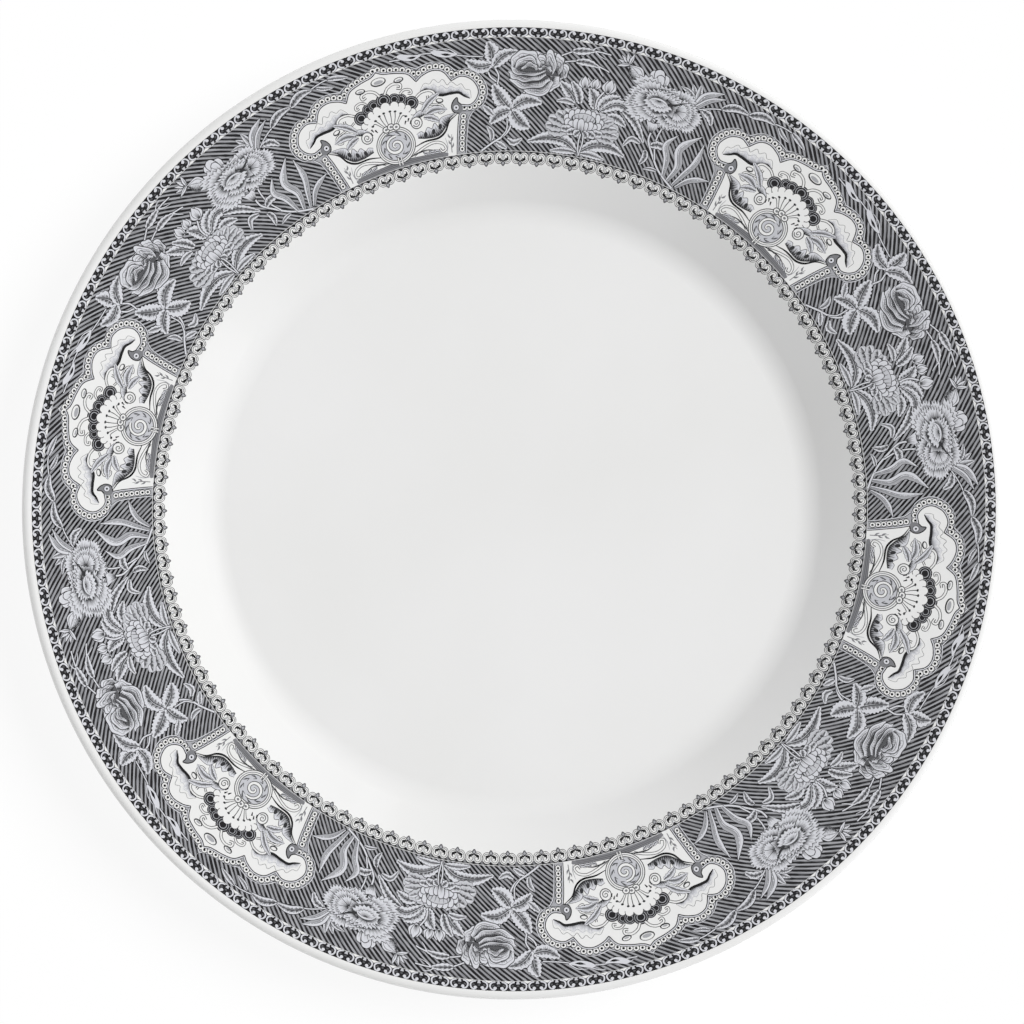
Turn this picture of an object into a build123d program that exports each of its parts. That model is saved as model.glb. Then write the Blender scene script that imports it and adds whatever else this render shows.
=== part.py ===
from build123d import *
import os
from math import cos, pi, radians, sin, tan

# China dinner plate with a transfer-printed rim, in millimetres.
#
# The origin is the centre of the foot ring's resting plane, and +Z points up through
# the well. The plate is a fired clay body inside two glaze films, which the bare standing
# ring of the foot keeps apart. The rim's print is a set of thin ink films on the glaze.

os.makedirs("parts", exist_ok=True)

# ---------------------------------------------------------------- driving dimensions
plate_diameter = 270.0
plate_height = 24.0
floor_thickness = 4.8
rim_thickness = 3.8
rim_slope = 10.0
edge_rounding = 1.8
well_radius = 83.0
well_rounding = 12.0
shoulder_radius = 96.0
shoulder_rounding = 6.0
under_well_radius = 85.2
under_shoulder_radius = 98.0
foot_height = 3.0
foot_outer_radius = 80.0
foot_inner_radius = 74.4
foot_draft = 1.2
standing_ring_width = 2.0
glaze_thickness = 0.25

# Ink films: the two borders, and between them six cartouches and six floral panels
ink_thickness = 0.05
ink_gap = 0.1
outer_border_radius = 132.7
panel_outer_radius = 130.0
panel_inner_radius = 98.7
inner_border_radius = 94.6
repeats = 6
first_cartouche_angle = 107.5
arc_scale_radius = 115.0
outline_overrun = 5.0

# ---------------------------------------------------------------- derived heights
rim_radius = plate_diameter / 2
floor_height = foot_height + floor_thickness
rim_rise = tan(radians(rim_slope))
rim_secant = 1 / cos(radians(rim_slope))

# The rim is straight in section, and both its sides meet the rounding of the edge
edge_top = plate_height + edge_rounding * (rim_secant + rim_rise - 1)
edge_bottom = edge_top - rim_thickness * rim_secant
shoulder_height = edge_top - (rim_radius - shoulder_radius) * rim_rise
under_shoulder_height = edge_bottom - (rim_radius - under_shoulder_radius) * rim_rise
foot_middle_radius = (foot_outer_radius + foot_inner_radius) / 2

# ---------------------------------------------------------------- sections, on the XZ plane
# Each corner of the glazed outline, from the well's centre out and back under: (r, z, rounding)
corners = [
    (well_radius, floor_height, well_rounding),
    (shoulder_radius, shoulder_height, shoulder_rounding),
    (rim_radius, edge_top, edge_rounding),
    (rim_radius, edge_bottom, edge_rounding),
    (under_shoulder_radius, under_shoulder_height, 7.0),
    (under_well_radius, foot_height, 6.0),
    (foot_outer_radius, foot_height, 1.2),
    (foot_outer_radius - foot_draft, 0, 0.9),
    (foot_inner_radius + foot_draft, 0, 0.9),
    (foot_inner_radius, foot_height, 1.2),
]
section_points = [(0, floor_height)] + [(r, z) for r, z, _ in corners] + [(0, foot_height)]
section_roundings = [rounding for _, _, rounding in corners]

with BuildSketch(Plane.XZ) as glazed_section:
    with BuildLine():
        outline = FilletPolyline(*section_points, radius=section_roundings)
        Line(outline @ 1, outline @ 0)
    make_face()
    mirror(about=Plane.YZ)

with BuildSketch(Plane.XZ) as right_half:
    with Locations((rim_radius, 0)):
        Rectangle(plate_diameter, 4 * plate_height)

# The clay stops one glaze thickness inside the outline, except at the foot's standing ring
with BuildSketch(Plane.XZ) as clay_section:
    with Locations((foot_middle_radius, 0)):
        Rectangle(standing_ring_width, 4 * glaze_thickness)
    add(glazed_section.sketch_local, mode=Mode.INTERSECT)
    clay_core = offset(
        glazed_section.sketch_local,
        amount=-glaze_thickness,
        kind=Kind.INTERSECTION,
        mode=Mode.PRIVATE,
    )
    add(clay_core)
    add(right_half.sketch_local, mode=Mode.INTERSECT)

with BuildSketch(Plane.XZ) as glaze_section:
    add(glazed_section.sketch_local)
    add(right_half.sketch_local, mode=Mode.INTERSECT)
    add(clay_section.sketch_local, mode=Mode.SUBTRACT)

# Ink lies on the glaze: its section is the outline grown by the ink's thickness
with BuildSketch(Plane.XZ) as ink_section:
    add(glazed_section.sketch_local)
    offset(amount=ink_thickness, kind=Kind.INTERSECTION)
    add(glazed_section.sketch_local, mode=Mode.SUBTRACT)
    add(right_half.sketch_local, mode=Mode.INTERSECT)


def ink_ring(inner_radius, outer_radius):
    """Section of the ink on the rim's upper side, between two radii."""
    with BuildSketch(Plane.XZ) as band:
        add(ink_section.sketch_local)
        with Locations(((inner_radius + outer_radius) / 2, 0)):
            Rectangle(outer_radius - inner_radius, 4 * plate_height, mode=Mode.INTERSECT)
    return band.sketch.faces().sort_by(Axis.Z)[-1]


# ---------------------------------------------------------------- clay body and glaze films
with BuildPart() as plate_body:
    revolve(clay_section.sketch, axis=Axis.Z)
plate_body.part.label = "plate_body"
export_step(plate_body.part, "parts/plate_body.step")

# The standing ring parts the glaze into a small film inside the foot and a large one
glaze_films = glaze_section.sketch.faces().sort_by(SortBy.AREA)

with BuildPart() as base_glaze:
    revolve(glaze_films[0], axis=Axis.Z)
base_glaze.part.label = "base_glaze"
export_step(base_glaze.part, "parts/base_glaze.step")

with BuildPart() as glaze_coat:
    revolve(glaze_films[-1], axis=Axis.Z)
glaze_coat.part.label = "glaze_coat"
export_step(glaze_coat.part, "parts/glaze_coat.step")

# ---------------------------------------------------------------- printed borders
with BuildPart() as outer_border_print:
    revolve(ink_ring(panel_outer_radius, outer_border_radius), axis=Axis.Z)
outer_border_print.part.label = "outer_border_print"
export_step(outer_border_print.part, "parts/outer_border_print.step")

with BuildPart() as inner_border_print:
    revolve(ink_ring(inner_border_radius, panel_inner_radius), axis=Axis.Z)
inner_border_print.part.label = "inner_border_print"
export_step(inner_border_print.part, "parts/inner_border_print.step")


# ---------------------------------------------------------------- printed panels
def rim_point(across, radius):
    """A point on the rim in plan, with the distance across measured at arc_scale_radius."""
    angle = across / arc_scale_radius
    return (radius * cos(angle), radius * sin(angle))


# Cartouche in plan, about +X: a pointed dome, two shoulder lobes, two end bulbs and
# sides that taper to the inner border. Each arc is its middle and its end point. The
# outline closes inside the inner border, where there is no film for it to cut.
cartouche_arcs = [
    ((5.2, 126.3), (10.3, 124.4)),
    ((15.2, 125.0), (20.3, 121.8)),
    ((28.3, 115.8), (24.3, 110.2)),
    ((22.3, 106.0), (21.2, panel_inner_radius)),
]
cartouche_tip = (0, 128.2)

with BuildSketch() as cartouche_outline:
    with BuildLine():
        start = cartouche_tip
        for middle, end in cartouche_arcs:
            ThreePointArc(rim_point(*start), rim_point(*middle), rim_point(*end))
            start = end
        Line(rim_point(*start), (panel_inner_radius - outline_overrun, 0))
        mirror(about=Plane.XZ)
    make_face()

with BuildPart() as cartouche_film:
    revolve(ink_ring(panel_inner_radius + ink_gap, panel_outer_radius - ink_gap), axis=Axis.Z)
    with BuildSketch():
        add(cartouche_outline.sketch_local)
    extrude(amount=2 * plate_height, mode=Mode.INTERSECT)

# A floral panel fills the rim from the middle of one cartouche to the middle of the next
with BuildSketch() as floral_outline:
    half_repeat = pi / repeats
    reach = 2 * rim_radius
    corner = (reach * cos(half_repeat), reach * sin(half_repeat))
    Polygon((0, 0), (corner[0], -corner[1]), corner, align=None)
    offset(amount=-ink_gap / 2)
    grown_outline = offset(cartouche_outline.sketch_local, amount=ink_gap, mode=Mode.PRIVATE)
    with PolarLocations(0, 2, start_angle=-180 / repeats, angular_range=360 / repeats, endpoint=True):
        add(grown_outline, mode=Mode.SUBTRACT)

with BuildPart() as floral_film:
    revolve(ink_ring(panel_inner_radius + ink_gap, panel_outer_radius - ink_gap), axis=Axis.Z)
    with BuildSketch():
        add(floral_outline.sketch_local)
    extrude(amount=2 * plate_height, mode=Mode.INTERSECT)

for number in range(repeats):
    cartouche_angle = first_cartouche_angle - 360 / repeats * number
    floral_angle = cartouche_angle - 180 / repeats

    with BuildPart() as cartouche_print:
        with Locations(Location((0, 0, 0), (0, 0, cartouche_angle))):
            add(cartouche_film.part)
    cartouche_print.part.label = f"cartouche_print_{number + 1}"
    export_step(cartouche_print.part, f"parts/{cartouche_print.part.label}.step")

    with BuildPart() as floral_print:
        with Locations(Location((0, 0, 0), (0, 0, floral_angle))):
            add(floral_film.part)
    floral_print.part.label = f"floral_print_{number + 1}"
    export_step(floral_print.part, f"parts/{floral_print.part.label}.step")
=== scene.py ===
import math
import random

import bpy
import numpy as np
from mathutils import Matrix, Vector
from mathutils.geometry import delaunay_2d_cdt


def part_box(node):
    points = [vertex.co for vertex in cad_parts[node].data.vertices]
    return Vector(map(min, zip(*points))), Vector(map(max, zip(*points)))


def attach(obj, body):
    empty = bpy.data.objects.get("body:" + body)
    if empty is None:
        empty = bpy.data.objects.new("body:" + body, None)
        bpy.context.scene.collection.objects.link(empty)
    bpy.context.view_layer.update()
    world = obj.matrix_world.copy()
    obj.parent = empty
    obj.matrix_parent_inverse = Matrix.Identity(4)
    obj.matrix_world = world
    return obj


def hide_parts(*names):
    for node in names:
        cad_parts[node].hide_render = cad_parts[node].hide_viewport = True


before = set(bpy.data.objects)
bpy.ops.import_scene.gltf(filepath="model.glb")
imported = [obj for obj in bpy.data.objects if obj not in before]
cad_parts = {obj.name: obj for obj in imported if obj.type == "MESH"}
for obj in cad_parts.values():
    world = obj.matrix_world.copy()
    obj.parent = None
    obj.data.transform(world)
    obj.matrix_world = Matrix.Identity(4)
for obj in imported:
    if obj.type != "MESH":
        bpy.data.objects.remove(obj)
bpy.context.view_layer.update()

# China dinner plate with a transfer-printed rim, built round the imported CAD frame.
#
# Lengths are in millimetres until a mesh is made, which turns them into metres. The fired
# clay body, the two glaze films and the fourteen parts of the print each stand for a CAD
# node. The print is drawn as flat shapes, cut where they overlap, and laid on the glaze.
MM = 0.001
random.seed(270)

# ---- Section of the plate
GLAZE = 0.25
INK_LIFT = 0.02  # how far the ink stands above the glaze, and reaches into it
SEGMENTS = 300
DEGREES_A_STEP = 3.0

SLOPE = math.radians(10)
RIM_RISE, RIM_SECANT = math.tan(SLOPE), 1 / math.cos(SLOPE)
RIM_THICKNESS, ROUNDING = 3.8, 1.8
FLOOR, FOOT = 7.8, 3.0
HAIR = 0.001
CAD_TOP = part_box("glaze_coat")[1]
RIM_RADIUS = CAD_TOP.x / MM
# The plate ends a little under the CAD's top, so that the ink on it does too
HEIGHT = CAD_TOP.z / MM - INK_LIFT - HAIR
EDGE_TOP = HEIGHT + ROUNDING * (RIM_SECANT + RIM_RISE - 1)
EDGE_BOTTOM = EDGE_TOP - RIM_THICKNESS * RIM_SECANT

# Corners of the glazed outline, from the well's centre out and back under: (r, z, rounding)
CORNERS = [
    (0, FLOOR, 0),
    (83, FLOOR, 12),
    (96, EDGE_TOP - (RIM_RADIUS - 96) * RIM_RISE, 6),
    (RIM_RADIUS, EDGE_TOP, ROUNDING),
    (RIM_RADIUS, EDGE_BOTTOM, ROUNDING),
    (98, EDGE_BOTTOM - (RIM_RADIUS - 98) * RIM_RISE, 7),
    (85.2, FOOT, 6),
    (80, FOOT, 1.2),
    (78.8, 0, 0.9),
    (75.6, 0, 0.9),
    (74.4, FOOT, 1.2),
    (0, FOOT, 0),
]
EDGE, STAND_OUT, STAND_IN = 3, 8, 9  # corners at the rim's edge and beside the standing ring


def rounded(corners):
    """Rows of (point, outward normal, corner) along a polyline with rounded corners, outside on its left."""
    points = [np.array(corner[:2], float) for corner in corners]
    rows = []
    for i, (point, corner) in enumerate(zip(points, corners)):
        radius = corner[2]
        before = point - points[i - 1] if i else points[1] - point
        after = points[i + 1] - point if i + 1 < len(points) else before
        a0, a1 = math.atan2(before[1], before[0]), math.atan2(after[1], after[0])
        bend = (a1 - a0 + math.pi) % (2 * math.pi) - math.pi
        along = np.array([math.cos(a0), math.sin(a0)])
        left = np.array([-along[1], along[0]])
        side = math.copysign(radius, bend)
        centre = point - along * radius * math.tan(abs(bend) / 2) + left * side
        steps = max(1, math.ceil(abs(math.degrees(bend)) / DEGREES_A_STEP)) if radius else 0
        for k in range(steps + 1):
            a = a0 + bend * k / max(steps, 1)
            normal = np.array([-math.sin(a), math.cos(a)])
            rows.append((centre - normal * side, normal, i))
    return rows


OUTLINE = rounded(CORNERS)
COAT = [(p, n) for p, n, corner in OUTLINE if corner <= STAND_OUT]
BASE = [(p, n) for p, n, corner in OUTLINE if corner >= STAND_IN]
FACE = [(p, n) for p, n, corner in OUTLINE if corner <= EDGE and n[1] > 0.3]
FACE_R, FACE_Z = np.array([p for p, n in FACE]).T
FACE_TILT = np.array([math.atan2(n[0], n[1]) for p, n in FACE])


# ---- Meshes
def finished(name, vertices, faces, normals, materials, material_of=None):
    """A piece from its vertices in mm, with the normal at each corner of each face."""
    mesh = bpy.data.meshes.new(name)
    mesh.from_pydata((np.round(vertices, 6) * MM).tolist(), [], faces)
    for material in materials:
        mesh.materials.append(material)
    if material_of is not None:
        mesh.polygons.foreach_set("material_index", np.asarray(material_of, np.int32))
    mesh.polygons.foreach_set("use_smooth", np.ones(len(mesh.polygons), bool))
    mesh.update()
    mesh.normals_split_custom_set(normals)
    piece = bpy.data.objects.new(name, mesh)
    bpy.context.scene.collection.objects.link(piece)
    return piece


def turned(name, strips, material):
    """A closed solid of revolution from strips of (point, normal), each starting where the last one ended."""
    angle = np.arange(SEGMENTS) * 2 * np.pi / SEGMENTS
    ring = np.column_stack([np.cos(angle), np.sin(angle)])
    vertices, faces, normals, rows = [], [], [], []

    def row_of(point):
        """The last or first row if it is at this point, or a new one: (first vertex, how many, point)."""
        for row in rows[-1:] + rows[:1]:
            if np.allclose(row[2], point, atol=1e-6):
                return row
        rings = ring[:1] * 0 if point[0] < 1e-6 else ring * point[0]
        rows.append((len(vertices), len(rings), point))
        vertices.extend((x, y, point[1]) for x, y in rings)
        return rows[-1]

    def corner(row, j, normal):
        """One corner of a face. The one vertex of a row on the axis serves every segment."""
        j = j % SEGMENTS
        if row[1] == 1:
            return row[0], (0, 0, np.sign(normal[1]))
        return row[0] + j, (normal[0] * ring[j, 0], normal[0] * ring[j, 1], normal[1])

    for strip in strips:
        for (p, n), (q, m) in zip(strip, strip[1:]):
            a, b = row_of(p), row_of(q)
            for j in range(SEGMENTS):
                face = [corner(a, j, n), corner(b, j, m)]
                face += [corner(b, j + 1, m)] if b[1] > 1 else []
                face += [corner(a, j + 1, n)] if a[1] > 1 else []
                faces.append([vertex for vertex, _ in face])
                normals += [normal for _, normal in face]
    return finished(name, vertices, faces, normals, [material])


def film(rows):
    """Strips of a glaze film: its outside, its cut edge and its inside. One end may be on the axis."""
    inside = [(p - n * GLAZE, -n) for p, n in rows][::-1]

    def cut(end, start):
        """The edge between the two sides, or none where they meet on the axis."""
        way = start - end
        across = np.array([-way[1], way[0]]) / np.hypot(*way)
        return [[(end, across), (start, across)]] if end[0] > 1e-6 or start[0] > 1e-6 else []

    return [rows, *cut(rows[-1][0], inside[0][0]), inside, *cut(inside[-1][0], rows[0][0])]


# ---- Engraver's tools
# The print is drawn flat, in mm: u runs clockwise along the rim and is measured at
# ARC_SCALE, and v is the distance from the plate's axis. Later shapes cover earlier ones.
# Each tone's grey, and BARE for a shape that is cut out of the print
INK = {"black": 0.008, "dark": 0.03, "deep": 0.09, "mid": 0.21, "soft": 0.4, "light": 0.57, "pale": 0.69}
BARE = None
# Four passes of cuts: tone, reach towards the tip, distance between cuts, share that stays solid
SHADES = (
    ("light", 0.9, 0.85, 0.6),
    ("soft", 0.72, 0.75, 0.5),
    ("mid", 0.52, 0.68, 0.4),
    ("dark", 0.34, 0.75, 0.3),
)


def smooth(points, steps=6, closed=False):
    """A curve through the points, with steps points for each of them."""
    p = np.array(points, float)
    if closed:
        ring = np.vstack([p[-1:], p, p[:2]])
    else:
        ring = np.vstack([2 * p[:1] - p[1:2], p, 2 * p[-1:] - p[-2:-1]])
    t = (np.arange(steps) / steps)[:, None]
    parts = []
    for a, b, c, d in zip(ring, ring[1:], ring[2:], ring[3:]):
        cubic = 2 * a - 5 * b + 4 * c - d + t * (3 * (b - c) + d - a)
        parts.append(b + 0.5 * t * (c - a + t * cubic))
    if not closed:
        parts.append(p[-1:])
    return np.vstack(parts)


def even(path, count):
    """The same path as count points at equal distances."""
    step = np.hypot(*np.diff(path, axis=0).T)
    along = np.concatenate([[0], np.cumsum(step)])
    at = np.linspace(0, along[-1], count)
    return np.column_stack([np.interp(at, along, path[:, i]) for i in (0, 1)])


def length(path):
    return float(np.hypot(*np.diff(path, axis=0).T).sum())


def normals(path):
    """Unit vectors to the left of a path."""
    d = np.gradient(path, axis=0)
    d /= np.maximum(np.hypot(*d.T), 1e-9)[:, None]
    return np.column_stack([-d[:, 1], d[:, 0]])


def ribbon(path, widths):
    """Outline of a band along the path, as wide as widths says from its start to its end."""
    half = np.interp(np.linspace(0, 1, len(path)), np.linspace(0, 1, len(widths)), widths) / 2
    side = normals(path) * half[:, None]
    right = (path - side)[::-1]
    keep = np.abs(half[::-1]) > 1e-3
    return np.vstack([path + side, right[keep]])


def circle(centre, a, b=None, turn=0, count=16):
    t = np.arange(count) * 2 * np.pi / count
    x, y = a * np.cos(t), (b or a) * np.sin(t)
    c, s = np.cos(turn), np.sin(turn)
    return np.column_stack([centre[0] + x * c - y * s, centre[1] + x * s + y * c])


def coil(centre, r0, r1, a0, a1, steps=14):
    """A spiral from radius r0 at angle a0 to r1 at a1, in degrees."""
    t = np.linspace(0, 1, steps)
    r, a = r0 + (r1 - r0) * t, np.radians(a0 + (a1 - a0) * t)
    return np.column_stack([centre[0] + r * np.cos(a), centre[1] + r * np.sin(a)])


def fringe(path, teeth, depth):
    """The path with pointed teeth to its left."""
    q = even(path, 2 * teeth + 1)
    out = normals(q) * depth
    q[1::2] += out[1::2]
    return q


class Drawing:
    """Filled shapes in painting order."""

    def __init__(self):
        self.shapes = []
        self.flips = (1,)

    def fill(self, tone, outline):
        for flip in self.flips:
            self.shapes.append((tone, np.array(outline) * (flip, 1)))

    def line(self, tone, points, widths, steps=5):
        path = smooth(points, steps) if steps else np.array(points, float)
        self.fill(tone, ribbon(path, widths))

    def disc(self, tone, centre, a, b=None, turn=0, count=14):
        self.fill(tone, circle(centre, a, b, turn, count))

    def discs(self, centre, *rings, turn=0):
        """Discs one over another, each (tone, half width, half height, corners)."""
        for tone, a, b, count in rings:
            self.disc(tone, centre, a, b, turn, count)

    def hatch(self, tone, base, tip, reach, pitch, solid=0.3):
        """A comb of cuts from one curve towards the other, joined along its base."""
        count = max(2, int(max(length(base), length(tip)) / pitch))
        foot, head = even(base, 2 * count + 1), even(tip, 2 * count + 1)
        out = [foot[0]]
        for i in range(1, 2 * count):
            share = reach * (random.uniform(0.75, 1.2) if i % 2 else solid * random.uniform(0.5, 1.3))
            out.append(foot[i] + (head[i] - foot[i]) * min(share, 0.97))
        self.fill(tone, np.vstack([out, foot[::-1][::3]]))

    def shade(self, base, tip, depth=1.0):
        """Darkens a petal towards its base."""
        for tone, reach, pitch, solid in SHADES:
            self.hatch(tone, base, tip, min(reach * depth, 0.95), pitch, solid)

    def plume(self, base, tip, depth=1.0, edge=0.3):
        """A petal or half a leaf between two curves: a dark seam, a pale fill, and cuts from its base."""
        if edge:
            self.fill("dark", ribbon(tip, [edge * 0.6, edge, edge * 0.6]))
        self.fill("pale", np.vstack([tip, base[::-1]]))
        self.shade(base, tip, depth)

    def veins(self, rib, edge, count, tone, width, reach):
        """Slanting wedges from a midrib towards the edge, as between the veins of a leaf."""
        last = len(rib) - 1
        for i in range(count):
            a, b = (i + 0.35) / (count + 0.8), (i + 1.15) / (count + 0.8)
            foot, head = rib[int(a * last)], edge[min(int(b * last) + 1, last)]
            after = rib[min(int((a + width) * last) + 1, last)]
            tip = foot + (head - foot) * reach * random.uniform(0.8, 1.05)
            self.fill(tone, [foot, after, (after + head) / 2, tip])

    def leaf(self, points, width, teeth=0, depth=0.8, bulge=0.42, rib="dark", fold=0.5, tone="pale"):
        """A pointed leaf along its midrib."""
        rib_line = even(smooth(points, 8), 25)
        s = np.linspace(0, 1, 25)
        swell = s ** (bulge * 2) * (1 - s) ** (2 - bulge * 2)
        swell = (swell / swell.max()) ** 0.75 * width
        out = normals(rib_line)
        for side, share in ((1, 1 - fold), (-1, fold)):
            smooth_edge = rib_line + out * (side * share * swell)[:, None]
            edge = fringe(smooth_edge[::side], teeth, width * 0.1)[::side] if teeth else smooth_edge
            self.fill("black", ribbon(edge, [0.14, 0.44, 0.14] if width > 1.8 else [0.1, 0.3, 0.1]))
            self.fill(tone, np.vstack([edge, rib_line[::-1]]))
            if depth and width < 1.8:
                self.hatch("soft" if side > 0 else "mid", rib_line, smooth_edge, 0.6, 0.6, 0.7)
            elif depth:
                self.hatch("soft", rib_line, smooth_edge, 0.8 if side > 0 else 0.6, 0.56, 0.5)
                self.hatch("mid", rib_line, smooth_edge, 0.45 if side > 0 else 0.25, 0.52, 0.5)
                count = max(3, int(length(rib_line) / 1.15))
                vein = "mid" if side < 0 else "deep"
                self.veins(rib_line, smooth_edge, count, vein, 0.5 / count, 0.62 * depth + 0.1)
        if rib:
            self.fill(rib, ribbon(rib_line, [0.34, 0.26, 0] if width > 2.4 else [0.2, 0.12, 0]))
            if width > 2.4:
                self.fill("pale", ribbon((rib_line + out * 0.16)[:-6], [0.16, 0.12, 0]))

    def blade(self, points, widths):
        """A grass blade: pale, with long cuts beside its rib."""
        path = even(smooth(points, 8), 19)
        self.fill("black", ribbon(path, np.array(widths) + 0.3))
        self.fill("pale", ribbon(path, widths))
        half = np.interp(np.linspace(0, 1, 19), np.linspace(0, 1, len(widths)), widths) / 2
        out = normals(path)
        dark_side = path - out * (0.95 * half)[:, None]
        self.hatch("soft", dark_side[:-1], (path + out * (0.3 * half)[:, None])[:-1], 0.95, 0.5, 0.8)
        for share, tone in ((0.2, "deep"), (-0.3, "mid")):
            self.fill(tone, ribbon((path + out * (share * half)[:, None])[:-3], [0.16, 0.16, 0]))

    def scallop(self, place, r0, r1, a0, a1, teeth, dent, edge=0.34):
        """A fan petal with a fringed edge, about a flower's centre."""
        a = np.radians(np.linspace(a0, a1, 13))
        lift = 1 + 0.13 * np.sin(np.linspace(0, np.pi, 13))
        arc = np.column_stack([r1 * lift * np.cos(a), r1 * lift * np.sin(a)])
        teeth_line = fringe(arc[::-1], teeth, dent)[::-1]
        base = np.column_stack([r0 * np.cos(a), r0 * np.sin(a)])
        rim = place(np.vstack([base[:1], teeth_line, base[-1:]]))
        self.fill("dark", ribbon(rim, [edge * 0.5, edge, edge, edge * 0.5]))
        self.plume(place(base), place(teeth_line), edge=0)


def placed(origin, turn=0.0, wide=1.0, tall=1.0):
    """Moves a motif drawn about (0, 0) to its place in the drawing."""
    c, s = np.cos(np.radians(turn)), np.sin(np.radians(turn))

    def move(points):
        p = np.array(points, float) * (wide, tall)
        x, y = p.T
        return np.column_stack([origin[0] + x * c - y * s, origin[1] + x * s + y * c])

    return move


def mirrored(at, right):
    """A closed outline about u = at, from its right half."""
    right = np.array(right, float)
    return np.vstack([right, right[::-1] * (-1, 1)]) + (at, 0)


# ---- Borders
def outer_border_unit(d, at, half):
    """Two light C-scrolls that face each other on black, with a drop between them."""
    d.fill("black", mirrored(at, [(half + 0.05, 133), (half + 0.05, 130.75), (half * 0.6, 130.12)]))
    scroll = [(0.75, 132.3), (1.15, 132.46), (1.72, 132.22), (2.02, 131.6)]
    scroll += [(1.98, 130.98), (1.5, 130.48), (0.78, 130.3)]
    for side in (-1, 1):
        d.line("pale", np.array(scroll) * (side, 1) + (at, 0), [0.3, 0.4, 0.36, 0.4, 0.42, 0.3], 4)
        d.disc("pale", (at + side * 0.84, 131.98), 0.42, 0.4, count=12)
        d.disc("deep", (at + side * 1.32, 131.3), 0.36, 0.26, side * 0.5, 8)
    d.fill("light", mirrored(at, [(0.42, 130.86), (0.3, 130.3), (0, 129.9)]))
    d.disc("deep", (at, 131.35), 0.34, 0.24, count=8)
    d.disc("dark", (at, 132.3), 0.16, 0.3, count=8)


def inner_border_unit(d, at, half):
    """Two pale scrolls side by side, each round a curl, and a small spade that points into the well."""
    d.fill("mid", mirrored(at, [(half + 0.05, 98.8), (half + 0.05, 97.6)]))
    for x in (-1.9, 0, 1.9):
        d.line("black", [(at + x - 0.6, 98.8), (at + x + 0.5, 97.85)], [0.62, 0.62], 0)
    for tone, out, a, b, count in (
        ("black", 1.3, 1.54, 1.66, 20),
        (BARE, 1.3, 1.4, 1.5, 20),
        ("dark", 1.26, 1.14, 1.24, 18),
        (BARE, 1.26, 0.98, 1.08, 18),
        ("dark", 1.26, 0.52, 0.6, 14),
    ):
        for side in (-1, 1):
            d.disc(tone, (at + side * out, 96.86), a, b, count=count)
    for side in (-1, 1):
        d.disc("black", (at + side * 0.98, 96.3), 0.9, 0.3, side * 0.2, 12)
        d.disc("black", (at + side, 97.04), 0.52, 0.5, count=10)
        d.disc(BARE, (at + side * 0.96, 97.12), 0.4, 0.36, count=10)
    d.fill("black", mirrored(at, [(0.36, 98.7), (0, 97.9)]))
    d.line("pale", [(at, 97.8), (at, 97.3), (at, 96.9)], [0.44, 0.3, 0], 2)
    d.fill("dark", mirrored(at, [(0, 96.3), (0.5, 95.75), (0.42, 95.3)]))
    d.fill("deep", mirrored(at, [(0, 94.3), (0.36, 94.8), (0.76, 95.3), (0.66, 95.74), (0, 95.96)]))
    d.fill("soft", mirrored(at, [(0, 94.95), (0.42, 95.36), (0.36, 95.64), (0, 95.76)]))


# ---- Floral panel
def ground(d, width, low, high):
    """Slanting lines, cut by hand: black lines with a pale one between each pair."""
    lines = 74
    pitch = width / lines
    climb = 1.411 / 1.64 * pitch  # how much higher each line passes than the one before
    piece = 6  # steps of a line in each filled shape
    for i in range(lines + int((high - low) / climb) + 2):
        for tone, shift, wide, rag, steps in (("black", 0, 0.294, 0.45, 37), ("soft", 0.5, 0.168, 0.7, 19)):
            v = np.linspace(low, high, steps)
            u = pitch * (i + shift - (v - low) / climb)
            u = u + np.array([random.uniform(-0.07, 0.07) for _ in v])
            w = [wide * pitch * random.uniform(1 - rag, 1 + rag) for _ in v]
            for a in range(0, steps - 1, piece):
                part = slice(a, a + piece + 1)
                if u[part].max() > -1 and u[part].min() < width + 1:
                    d.fill(tone, ribbon(np.column_stack([u, v])[part], w[part]))


def stem(d, points, width=0.5):
    d.line("black", points, [width + 0.35] * 3)
    d.line("pale", points, [width] * 3)


def hairs(d, widths, *curves):
    for points in curves:
        d.line("pale", points, widths)


def vines(d):
    """A vine with pods and one with leaves, which hang over the cartouches at both ends."""
    stem(d, [(4, 127.9), (7.5, 127.6), (12.5, 127.8), (17.5, 127), (22.5, 125.6), (27.5, 124.9)], 0.3)
    for pod in ([(6, 128.6), (9.5, 127.4), (12.2, 127.6)], [(14.5, 127.9), (18, 126.6), (21.2, 126.1)]):
        d.leaf(pod, 1.7, depth=0, rib=None)
        d.fill("black", ribbon(smooth(pod)[4:-3], [0, 0.8, 0]))
    hairs(
        d,
        [0.3, 0.22, 0.12],
        [(9, 127.9), (7.2, 128.9), (5.2, 128.4)],
        [(16.5, 127.6), (14, 129), (12.2, 129.2)],
        [(21, 126.3), (19, 127.9), (16.5, 128.3)],
    )
    vine = [(85, 121.2), (88, 123), (91, 124.3), (97.5, 126.4), (104, 128.3), (108, 128.9), (111.5, 128.5)]
    stem(d, vine, 0.3)
    d.leaf([(90.4, 124.2), (93.5, 126.3), (97.4, 126.6)], 2.2)
    d.leaf([(97.2, 126.3), (100.6, 128.2), (104.2, 128)], 2.3)
    d.leaf([(108.4, 129), (110.9, 128.3), (113.8, 127.2)], 1.5)
    d.leaf([(105, 128.1), (107, 126.9), (109.4, 126.2)], 1.2)


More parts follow.
